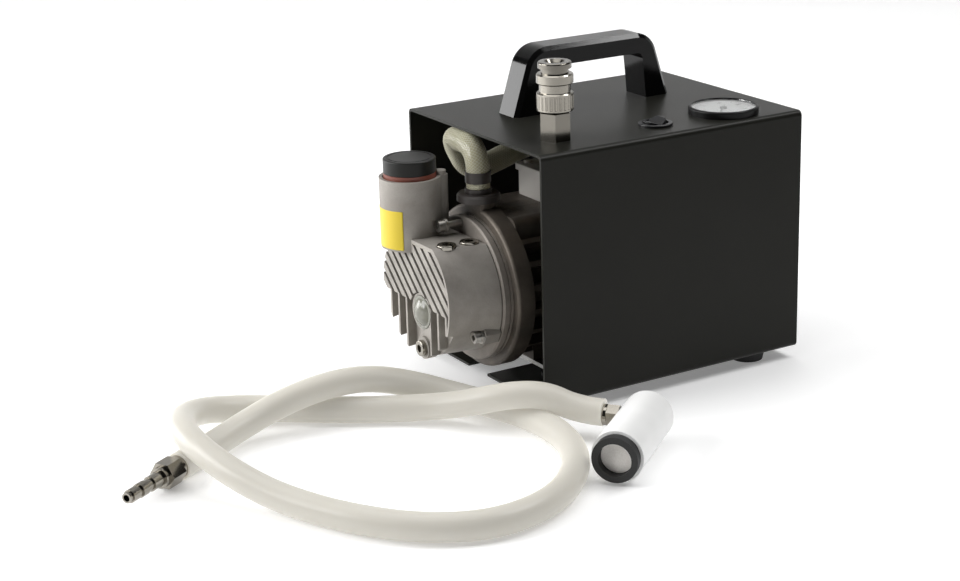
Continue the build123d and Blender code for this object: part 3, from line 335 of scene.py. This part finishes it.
dress(clear("gauge_pane", (0.95, 0.96, 0.96), 0.03, 1.3), "gauge_glass")
sight = Finish("sight_pane", (0.5, 0.51, 0.4), 0.15, Transmission_Weight=0.45, IOR=1.45)
sight.feed(Base_Color=sight.mix(sight.noise(160.0, 3.0), (0.22, 0.22, 0.18), (0.5, 0.5, 0.43)),
           Normal=sight.relief(sight.noise(220.0, 2.0), 0.0003))
dress(sight, "sight_glass")

# %% [markdown]
# ## Suction hose
# A silicone hose is soft and heavy, so it lies where it falls.  Its points are those of the
# solid hose, in metres.  A NURBS spline is the simplest smooth line for them: the points pull
# the line instead of pinning it, so it never shows a corner.  The order is set last.
# %% The line of the hose
HOSE_POINTS = [
    (-0.345, -0.045, 0.0099), (-0.317, -0.0279, 0.0099), (-0.283, -0.012, 0.014),
    (-0.249, -0.007, 0.0227), (-0.214, -0.011, 0.0301), (-0.183, -0.016, 0.0301),
    (-0.153, -0.025, 0.0216), (-0.128, -0.043, 0.0129), (-0.111, -0.07, 0.0099),
    (-0.102, -0.103, 0.0099), (-0.101, -0.137, 0.0099), (-0.109, -0.17, 0.0099),
    (-0.128, -0.201, 0.0099), (-0.157, -0.228, 0.0099), (-0.193, -0.242, 0.0099),
    (-0.228, -0.24, 0.0099), (-0.259, -0.221, 0.0099), (-0.282, -0.193, 0.0099),
    (-0.299, -0.162, 0.0099), (-0.315, -0.131, 0.0129), (-0.329, -0.102, 0.0205),
    (-0.338, -0.069, 0.0287), (-0.336, -0.034, 0.0303), (-0.322, -0.001, 0.026),
    (-0.298, 0.022, 0.0184), (-0.266, 0.025, 0.0119), (-0.237, 0.009, 0.0099),
    (-0.209, -0.0125, 0.0099), (-0.181, -0.031, 0.0099), (-0.155, -0.05, 0.0119),
    (-0.137, -0.074, 0.0184), (-0.118, -0.098, 0.0281), (-0.097, -0.1145, 0.0294),
    (-0.081, -0.1311, 0.0197), (-0.0687, -0.1461, 0.0197),
]
HOSE_RADIUS = 0.0097


def smooth_line(name, points, radius):
    """A round rod along a NURBS spline."""
    curve = bpy.data.curves.new(name, "CURVE")
    curve.dimensions = "3D"
    spline = curve.splines.new("NURBS")
    spline.points.add(len(points) - 1)
    for point, place in zip(spline.points, points):
        point.co = (*place, 1.0)
    spline.order_u = 3
    spline.use_endpoint_u = True
    spline.resolution_u = 12
    curve.bevel_depth = radius
    curve.bevel_resolution = 8
    curve.use_fill_caps = True
    made = bpy.data.objects.new(name, curve)
    bpy.context.scene.collection.objects.link(made)
    return made


soft_hose = smooth_line("silicone_hose", HOSE_POINTS, HOSE_RADIUS)

# %% [markdown]
# Milky silicone lets light in and scatters it back, which is subsurface scattering.  The wall
# is thick and the hose is hollow, so some light also goes round inside it and comes out on the
# shaded side; a faint glow of its own stands in for that.  A slow change of tint along the
# hose keeps it from looking like a plastic rod.
# %% Milky silicone
silicone = Finish("milky_silicone", (0.8, 0.77, 0.7), 0.3, Subsurface_Weight=1.0,
                  Subsurface_Radius=(1.0, 0.97, 0.88), Subsurface_Scale=0.016, IOR=1.41,
                  Emission_Color=(0.9, 0.87, 0.79, 1.0), Emission_Strength=0.24)
tint = silicone.noise(14.0, 3.0)
silicone.feed(Base_Color=silicone.mix(tint, (0.41, 0.396, 0.362), (0.365, 0.35, 0.312)),
              Roughness=0.29 + silicone.noise(120.0, 2.0) * 0.14,
              Normal=silicone.relief(silicone.noise(60.0, 1.0), 0.00003))
soft_hose.data.materials.append(silicone.material)
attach(soft_hose, "case")
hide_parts("suction_hose")
print("hose lies from", HOSE_POINTS[0], "to", HOSE_POINTS[-1])

# %% [markdown]
# The suction head is a white moulded cup with a sintered strainer in its mouth.  Sintered
# plastic is a mass of tiny balls, which Voronoi cells imitate well.
# %% Suction head
dress(moulded("head_white", (0.86, 0.86, 0.85), 0.36, 900.0, 0.000004, Coat_Weight=0.2),
      "head_body")
sinter = Finish("sintered_disc", (0.6, 0.57, 0.53), 0.8)
cells = sinter.node("ShaderNodeTexVoronoi", feeds={"Vector": sinter.place, "Scale": 900.0})
sinter.feed(Base_Color=sinter.mix(cells, (0.96, 0.93, 0.89), (0.86, 0.82, 0.77)),
            Normal=sinter.relief(1.0 - cells, 0.00005))
dress(sinter, "head_disc")


# %% [markdown]
# ## Building Geometry Nodes in a script
# Details that repeat are grown by Geometry Nodes.  A tree gets named inputs for its sizes,
# and its result is turned into a plain mesh at the end, so it exports like any other piece.
# %% A tree, its inputs and its result
class Grower:
    """One Geometry Nodes tree with named sizes."""

    def __init__(self, name, **sizes):
        self.tree = bpy.data.node_groups.new(name, "GeometryNodeTree")
        self.tree.is_modifier = True
        self.sizes = sizes
        face = self.tree.interface
        face.new_socket("Geometry", in_out="OUTPUT", socket_type="NodeSocketGeometry")
        for key, value in sizes.items():
            kind = "NodeSocketInt" if isinstance(value, int) else "NodeSocketFloat"
            if isinstance(value, bpy.types.Material):
                kind = "NodeSocketMaterial"
            face.new_socket(key, in_out="INPUT", socket_type=kind)
        self.given = self.tree.nodes.new("NodeGroupInput").outputs

    def node(self, kind, settings=None, feeds=None, out=0):
        """Any node: its settings first, then its sockets."""
        made = self.tree.nodes.new(kind)
        for key, value in (settings or {}).items():
            setattr(made, key, value)
        for key, value in (feeds or {}).items():
            if isinstance(value, bpy.types.NodeSocket):
                self.tree.links.new(value, made.inputs[key])
            else:
                made.inputs[key].default_value = value
        return made.outputs[out]

    def sum(self, operation, first, second=0.0):
        return self.node("ShaderNodeMath", {"operation": operation}, {0: first, 1: second})

    def vector(self, x=0.0, y=0.0, z=0.0):
        return self.node("ShaderNodeCombineXYZ", feeds={"X": x, "Y": y, "Z": z})

    def grow(self, name, geometry, body, slot, place=(0, 0, 0)):
        """Ends the tree and returns its result as a plain mesh that rides on a body."""
        real = self.node("GeometryNodeRealizeInstances", feeds={"Geometry": geometry})
        done = self.node("GeometryNodeSetMaterial",
                         feeds={"Geometry": real, "Material": self.given["Finish"]})
        result = self.tree.nodes.new("NodeGroupOutput")
        self.tree.links.new(done, result.inputs[0])
        holder = bpy.data.objects.new(name + "_maker", bpy.data.meshes.new(name + "_maker"))
        bpy.context.scene.collection.objects.link(holder)
        modifier = holder.modifiers.new("grow", "NODES")
        modifier.node_group = self.tree
        for item in self.tree.interface.items_tree:
            if item.in_out == "INPUT":
                modifier[item.identifier] = self.sizes[item.name]
        shape = bpy.context.evaluated_depsgraph_get()
        mesh = bpy.data.meshes.new_from_object(holder.evaluated_get(shape))
        bpy.data.objects.remove(holder)
        mesh.transform(Matrix.Translation(place))
        piece = bpy.data.objects.new(name, mesh)
        bpy.context.scene.collection.objects.link(piece)
        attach(piece, body)
        print(name, "has", len(mesh.polygons), "faces")
        return piece


# %% [markdown]
# ## Knurling on the coupler sleeve
# The sleeve is gripped by its knurl, a band of little four-sided points.  A flat grid is
# rolled round the sleeve, a pyramid is put on each of its corners, and the points turn to
# face outwards.
# %% Grow the knurl
POINT_RADIUS_SHARE = 0.62
POINT_HEIGHT_SHARE = 0.4


def knurl(name, body, radius, low, high, around, rows, place, finish):
    grower = Grower(name, Radius=radius, Low=low, High=high, Around=around, Rows=rows,
                    Finish=finish)
    given = grower.given
    turn_step = grower.sum("DIVIDE", 2 * pi, given["Around"])
    last = grower.sum("SUBTRACT", given["Around"], 1)
    width = grower.sum("MULTIPLY", turn_step, last)
    height = grower.sum("SUBTRACT", given["High"], given["Low"])
    grid = grower.node("GeometryNodeMeshGrid",
                       feeds={"Size X": width, "Size Y": height, "Vertices X": given["Around"],
                              "Vertices Y": given["Rows"]})
    spot = grower.node("GeometryNodeInputPosition")
    angle = grower.node("ShaderNodeSeparateXYZ", feeds={0: spot}, out="X")
    along = grower.node("ShaderNodeSeparateXYZ", feeds={0: spot}, out="Y")
    level = grower.sum("ADD", along, grower.sum("MULTIPLY", grower.sum("ADD", given["Low"],
                                                                        given["High"]), 0.5))
    east = grower.sum("MULTIPLY", given["Radius"], grower.sum("COSINE", angle))
    north = grower.sum("MULTIPLY", given["Radius"], grower.sum("SINE", angle))
    stored = grower.node("GeometryNodeStoreNamedAttribute",
                         {"data_type": "FLOAT", "domain": "POINT"},
                         {"Geometry": grid, "Name": "turn", "Value": angle})
    rolled = grower.node("GeometryNodeSetPosition",
                         feeds={"Geometry": stored, "Position": grower.vector(east, north, level)})
    turn = grower.node("GeometryNodeInputNamedAttribute", {"data_type": "FLOAT"},
                       {"Name": "turn"})
    pitch = grower.sum("MULTIPLY", turn_step, given["Radius"])
    point_radius = grower.sum("MULTIPLY", pitch, POINT_RADIUS_SHARE)
    point_height = grower.sum("MULTIPLY", pitch, POINT_HEIGHT_SHARE)
    point = grower.node("GeometryNodeMeshCone",
                        feeds={"Vertices": 4, "Radius Top": 0.0, "Radius Bottom": point_radius,
                               "Depth": point_height}, out="Mesh")
    facing = grower.vector(0.0, pi / 2, turn)
    placed = grower.node("GeometryNodeInstanceOnPoints",
                         feeds={"Points": rolled, "Instance": point, "Rotation": facing})
    grower.grow(name, placed, body, "nickel", place)


sleeve_low, sleeve_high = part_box("coupler_sleeve")
sleeve_middle = middle("coupler_sleeve")
sleeve_radius = (sleeve_high.x - sleeve_low.x) / 2
knurl("coupler_knurl", "coupler_sleeve", radius=sleeve_radius - 0.0007,
      low=sleeve_low.z + 0.0022, high=sleeve_low.z + 0.0114, around=96, rows=15,
      place=(sleeve_middle.x, sleeve_middle.y, 0),
      finish=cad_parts["coupler_sleeve"].material_slots[0].material)


# %% [markdown]
# ## Scale of the gauge
# The dial carries short and long strokes over three quarters of a circle.  One tree sets
# strokes of a given size on the arc, and it is grown twice.
# %% Grow the strokes
SCALE_START = 225
SCALE_SWEEP = 270
PRINT_THICKNESS = 0.00008


def strokes(name, count, outer, length, width, finish, place):
    grower = Grower(name, Count=count, Outer=outer, Length=length, Width=width, Finish=finish)
    given = grower.given
    row = grower.node("GeometryNodeMeshLine", {"mode": "OFFSET"}, {"Count": given["Count"]})
    number = grower.node("GeometryNodeInputIndex")
    gaps = grower.sum("SUBTRACT", given["Count"], 1)
    share = grower.sum("DIVIDE", number, gaps)
    swept = grower.sum("MULTIPLY", share, radians(SCALE_SWEEP))
    angle = grower.sum("SUBTRACT", radians(SCALE_START), swept)
    reach = grower.sum("SUBTRACT", given["Outer"], grower.sum("MULTIPLY", given["Length"], 0.5))
    east = grower.sum("MULTIPLY", reach, grower.sum("COSINE", angle))
    north = grower.sum("MULTIPLY", reach, grower.sum("SINE", angle))
    ring = grower.node("GeometryNodeSetPosition",
                       feeds={"Geometry": row, "Position": grower.vector(east, north)})
    size = grower.vector(given["Length"], given["Width"], PRINT_THICKNESS)
    stroke = grower.node("GeometryNodeMeshCube", feeds={"Size": size})
    placed = grower.node("GeometryNodeInstanceOnPoints",
                         feeds={"Points": ring, "Instance": stroke,
                                "Rotation": grower.vector(0.0, 0.0, angle)})
    grower.grow(name, placed, "case", "pointer_black", place)


dial_low, dial_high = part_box("gauge_dial")
dial_middle = middle("gauge_dial")
dial_radius = (dial_high.x - dial_low.x) / 2
scale_radius = dial_radius - 0.002
print_level = dial_high.z + 0.00005
print_place = (dial_middle.x, dial_middle.y, print_level)
ink = moulded("dial_ink", (0.02, 0.02, 0.02), 0.5)
strokes("dial_short_strokes", count=51, outer=scale_radius, length=0.0018, width=0.00022,
        finish=ink.material, place=print_place)
strokes("dial_long_strokes", count=11, outer=scale_radius, length=0.0034, width=0.00045,
        finish=ink.material, place=print_place)


# %% [markdown]
# ## Braided hose
# The hose inside the case has a textile braid round its milky wall.  The solid hose is the
# right shape and only gets a finish.  The braid has to follow it exactly, so its line is made
# from the same corners and bend radii, and each bend is worked out as an arc.
# %% The line of the braid
BRAID_CORNERS = [
    (-0.0825, -0.006, 0.153), (-0.0825, -0.006, 0.1829), (-0.0785, 0.04, 0.1829),
    (-0.0625, 0.04, 0.151), (0.005, 0.036, 0.1715), (0.005, -0.0565, 0.1715),
    (-0.0335, -0.0565, 0.1715),
]
BRAID_BENDS = [0.016, 0.015, 0.017, 0.03, 0.016]


def bend(before, corner, after, radius, steps=12):
    """Points of the arc that rounds one corner of a route."""
    back = (before - corner).normalized()
    onward = (after - corner).normalized()
    half = back.angle(onward) / 2
    centre = corner + (back + onward).normalized() * (radius / sin(half))
    first = corner + back * (radius / tan(half)) - centre
    last = corner + onward * (radius / tan(half)) - centre
    sweep = first.angle(last)
    for step in range(steps + 1):
        share = step / steps
        mixed = first * sin((1 - share) * sweep) + last * sin(share * sweep)
        yield centre + mixed / sin(sweep)


def bent_line(name, corners, bends):
    """A line of straight runs and arcs."""
    corners = [Vector(corner) for corner in corners]
    places = [corners[0]]
    for before, corner, after, radius in zip(corners, corners[1:], corners[2:], bends):
        places.extend(bend(before, corner, after, radius))
    places.append(corners[-1])
    curve = bpy.data.curves.new(name, "CURVE")
    curve.dimensions = "3D"
    spline = curve.splines.new("POLY")
    spline.points.add(len(places) - 1)
    for point, place in zip(spline.points, places):
        point.co = (*place, 1.0)
    made = bpy.data.objects.new(name, curve)
    bpy.context.scene.collection.objects.link(made)
    return made


braid_line = bent_line("braid_line", BRAID_CORNERS, BRAID_BENDS)
print("braid line has", len(braid_line.data.splines[0].points), "points")


# %% [markdown]
# The line is copied once for each thread, and each copy is wound round it, half of them one
# way and half the other, so that they cross in diamonds.
# %% Grow the braid
def braid(name, line, radius, thread, per_way, twist, finish):
    grower = Grower(name, Radius=radius, Thread=thread, Threads=per_way, Twist=twist,
                    Finish=finish)
    given = grower.given
    source = grower.node("GeometryNodeObjectInfo", feeds={"Object": line}, out="Geometry")
    fine = grower.node("GeometryNodeResampleCurve", feeds={"Curve": source, "Count": 180})
    ways = []
    for way in (1.0, -1.0):
        copies = grower.tree.nodes.new("GeometryNodeDuplicateElements")
        copies.domain = "SPLINE"
        grower.tree.links.new(fine, copies.inputs["Geometry"])
        grower.tree.links.new(given["Threads"], copies.inputs["Amount"])
        share = grower.sum("DIVIDE", copies.outputs["Duplicate Index"], given["Threads"])
        along = grower.node("GeometryNodeSplineParameter", out="Factor")
        wound = grower.sum("MULTIPLY", along, grower.sum("MULTIPLY", given["Twist"], way))
        angle = grower.sum("MULTIPLY", grower.sum("ADD", share, wound), 2 * pi)
        ahead = grower.node("GeometryNodeInputTangent")
        side = grower.node("GeometryNodeInputNormal")
        turned = grower.node("ShaderNodeVectorRotate", {"rotation_type": "AXIS_ANGLE"},
                             {"Vector": side, "Axis": ahead, "Angle": angle})
        out = grower.node("ShaderNodeVectorMath", {"operation": "SCALE"},
                          {0: turned, "Scale": given["Radius"]})
        wrapped = grower.node("GeometryNodeSetPosition",
                              feeds={"Geometry": copies.outputs["Geometry"], "Offset": out})
        section = grower.node("GeometryNodeCurvePrimitiveCircle",
                              feeds={"Resolution": 4, "Radius": given["Thread"]})
        ways.append(grower.node("GeometryNodeCurveToMesh",
                                feeds={"Curve": wrapped, "Profile Curve": section}))
    both = grower.tree.nodes.new("GeometryNodeJoinGeometry")
    for way in ways:
        grower.tree.links.new(way, both.inputs[0])
    grower.grow(name, both.outputs[0], "case", "braid_hose")


wall = Finish("milky_hose_wall", (0.36, 0.34, 0.23), 0.2, Subsurface_Weight=0.4,
              Subsurface_Radius=(1.0, 0.97, 0.8), Subsurface_Scale=0.003, IOR=1.45)
wall.feed(Base_Color=wall.mix(wall.noise(60.0, 3.0), (0.27, 0.255, 0.165), (0.42, 0.4, 0.28)),
          Roughness=0.16 + wall.noise(300.0, 2.0) * 0.1)
dress(wall, "braided_hose")
threads = moulded("braid_thread", (0.42, 0.406, 0.31), 0.4, 2000.0, 0.00003)
braid("braid_threads", braid_line, radius=0.0086, thread=0.00022, per_way=18, twist=9.0,
      finish=threads.material)
bpy.data.objects.remove(braid_line)

# %% [markdown]
# ## Sticker on the filter tower
# A sticker is a thin sheet that takes the curve of what it is stuck on.  It is a strip of quads
# round the tower, and Solidify gives it the thickness of vinyl.  It is left blank.
# %% Blank yellow sticker
def sticker(name, axis, radius, first, last, low, high, finish):
    steps = 36
    corner_height = 0.0006
    rows = (low, low + corner_height, high - corner_height, high)
    verts, faces = [], []
    for row, level in enumerate(rows):
        inset = 0.01 if level in (low, high) else 0.0
        for step in range(steps + 1):
            share = inset + (1 - 2 * inset) * step / steps
            angle = radians(first + (last - first) * share)
            verts.append((axis.x + radius * cos(angle), axis.y + radius * sin(angle), level))
    for row in range(len(rows) - 1):
        for step in range(steps):
            corner = row * (steps + 1) + step
            faces.append((corner, corner + 1, corner + steps + 2, corner + steps + 1))
    mesh = bpy.data.meshes.new(name)
    mesh.from_pydata(verts, [], faces)
    mesh.shade_smooth()
    piece = bpy.data.objects.new(name, mesh)
    bpy.context.scene.collection.objects.link(piece)
    piece.data.materials.append(finish.material)
    vinyl = piece.modifiers.new("vinyl", "SOLIDIFY")
    vinyl.thickness = 0.00012
    vinyl.offset = 1.0
    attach(piece, "case")
    print(name, "has", len(faces), "faces")


tower_axis = middle("filter_ring")
tower_radius = tower_axis.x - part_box("oil_tank")[0].x
yellow = moulded("sticker_yellow", (0.62, 0.47, 0.02), 0.35, 600.0, 0.00001)
sticker("tower_sticker", tower_axis, radius=tower_radius + 0.0001, first=132, last=226,
        low=0.1115, high=0.1405, finish=yellow)
print("tower radius", tower_radius)

# %% [markdown]
# ## Figures on the dial
# Numbers on a dial are ordinary print.  Each is a text object, turned into a mesh before it is
# moved to its place, and they read from 0 at the lower left to 100 at the lower right.
# %% Print the figures
def print_figure(words, place, height, finish):
    curve = bpy.data.curves.new("figure_" + words, "FONT")
    curve.body = words
    curve.size = height
    curve.align_x = "CENTER"
    curve.align_y = "CENTER"
    curve.extrude = 0.00003
    writer = bpy.data.objects.new("figure_maker", curve)
    bpy.context.scene.collection.objects.link(writer)
    shape = bpy.context.evaluated_depsgraph_get()
    mesh = bpy.data.meshes.new_from_object(writer.evaluated_get(shape))
    bpy.data.objects.remove(writer)
    mesh.transform(Matrix.Translation(place))
    mesh.materials.clear()
    mesh.materials.append(finish.material)
    piece = bpy.data.objects.new("dial_figure_" + words, mesh)
    bpy.context.scene.collection.objects.link(piece)
    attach(piece, "case")
    print(piece.name, "stands at", place)


figure_gaps = 5
figure_reach = dial_radius - 0.0078
for step in range(figure_gaps + 1):
    angle = radians(SCALE_START - SCALE_SWEEP * step / figure_gaps)
    spot = (dial_middle.x + figure_reach * cos(angle), dial_middle.y + figure_reach * sin(angle),
            print_level)
    print_figure(str(100 * step // figure_gaps), spot, height=0.0036, finish=ink)

# %% [markdown]
# ## Room and light
# The pump stands on white paper that runs up behind it in one bend, as in a product studio.
# The paper glows a little, as lit-through acrylic does, which keeps the ground white.  It lies
# square to the camera, so `away` is the way that the camera looks, seen from above.
# %% White paper sweep
def paper_sweep(near=-3.0, far=2.2, bend_radius=1.2, top=4.5, half_width=4.5, steps=12):
    rows = [(near, 0.0), (far, 0.0)]
    for step in range(1, steps + 1):
        angle = pi / 2 * step / steps
        rows.append((far + bend_radius * sin(angle), bend_radius - bend_radius * cos(angle)))
    rows.append((far + bend_radius, top))
    away = Vector((0.5066, 0.8622, 0))
    side = Vector((away.y, -away.x, 0))
    verts, faces = [], []
    for depth, height in rows:
        for reach in (-half_width, half_width):
            spot = away * depth + side * reach
            verts.append((spot.x, spot.y, height))
    for row in range(len(rows) - 1):
        faces.append((2 * row, 2 * row + 1, 2 * row + 3, 2 * row + 2))
    mesh = bpy.data.meshes.new("paper_sweep")
    mesh.from_pydata(verts, [], faces)
    mesh.shade_smooth()
    made = bpy.data.objects.new("paper_sweep", mesh)
    bpy.context.scene.collection.objects.link(made)
    return made


sweep = paper_sweep()
paper = Finish("studio_paper", (0.9, 0.9, 0.9), 0.6, Emission_Color=(1.0, 1.0, 1.0, 1.0),
               Emission_Strength=0.22)
paper.feed(Roughness=0.55 + paper.noise(3.0) * 0.1)
sweep.data.materials.append(paper.material)
print("paper sweep has", len(sweep.data.polygons), "faces")


# %% [markdown]
# One large soft light stands on the left and a second hangs overhead.  Gloss only shows where
# it mirrors a light, so a softbox behind on the left draws the handle's side and a strip above
# the front draws the folded edges.
# %% Soft lights
def soft_light(name, place, target, size, power):
    data = bpy.data.lights.new(name, "AREA")
    data.shape = "RECTANGLE"
    data.size, data.size_y = size
    data.energy = power
    made = bpy.data.objects.new(name, data)
    made.location = place
    made.rotation_euler = (Vector(target) - Vector(place)).to_track_quat("-Z", "Y").to_euler()
    bpy.context.scene.collection.objects.link(made)
    print(name, "gives", power, "watts")


soft_light("key_left", (-2.0, 0.8, 1.1), (-0.05, 0, 0.1), (1.4, 1.2), 50.0)
soft_light("overhead", (0.0, 0.3, 2.4), (0, 0.0, 0.0), (2.6, 2.2), 40.0)
soft_light("back_left", (-1.4, 1.9, 0.4), (-0.05, 0, 0.2), (1.0, 0.8), 20.0)
soft_light("edge_strip", (1.05, -0.7, 1.8), (0, -0.05, 0.15), (1.4, 0.3), 18.0)

# %% [markdown]
# The sky is dark in front and brightens towards the back, so that black and nickel have
# something to mirror.
# %% Sky
sky = bpy.data.worlds.new("studio_sky")
sky.use_nodes = True
direction = sky.node_tree.nodes.new("ShaderNodeTexCoord")
split = sky.node_tree.nodes.new("ShaderNodeSeparateXYZ")
shade = sky.node_tree.nodes.new("ShaderNodeMapRange")
sky.node_tree.links.new(direction.outputs["Generated"], split.inputs[0])
sky.node_tree.links.new(split.outputs["Y"], shade.inputs["Value"])
for key, value in {"From Min": -0.6, "From Max": 0.5, "To Min": 0.08, "To Max": 0.7}.items():
    shade.inputs[key].default_value = value
sky.node_tree.links.new(shade.outputs[0], sky.node_tree.nodes["Background"].inputs["Strength"])
bpy.context.scene.world = sky
bpy.context.scene.view_settings.view_transform = "Standard"
print("sky runs from", shade.inputs["To Min"].default_value, "in front to",
      shade.inputs["To Max"].default_value, "at the back")
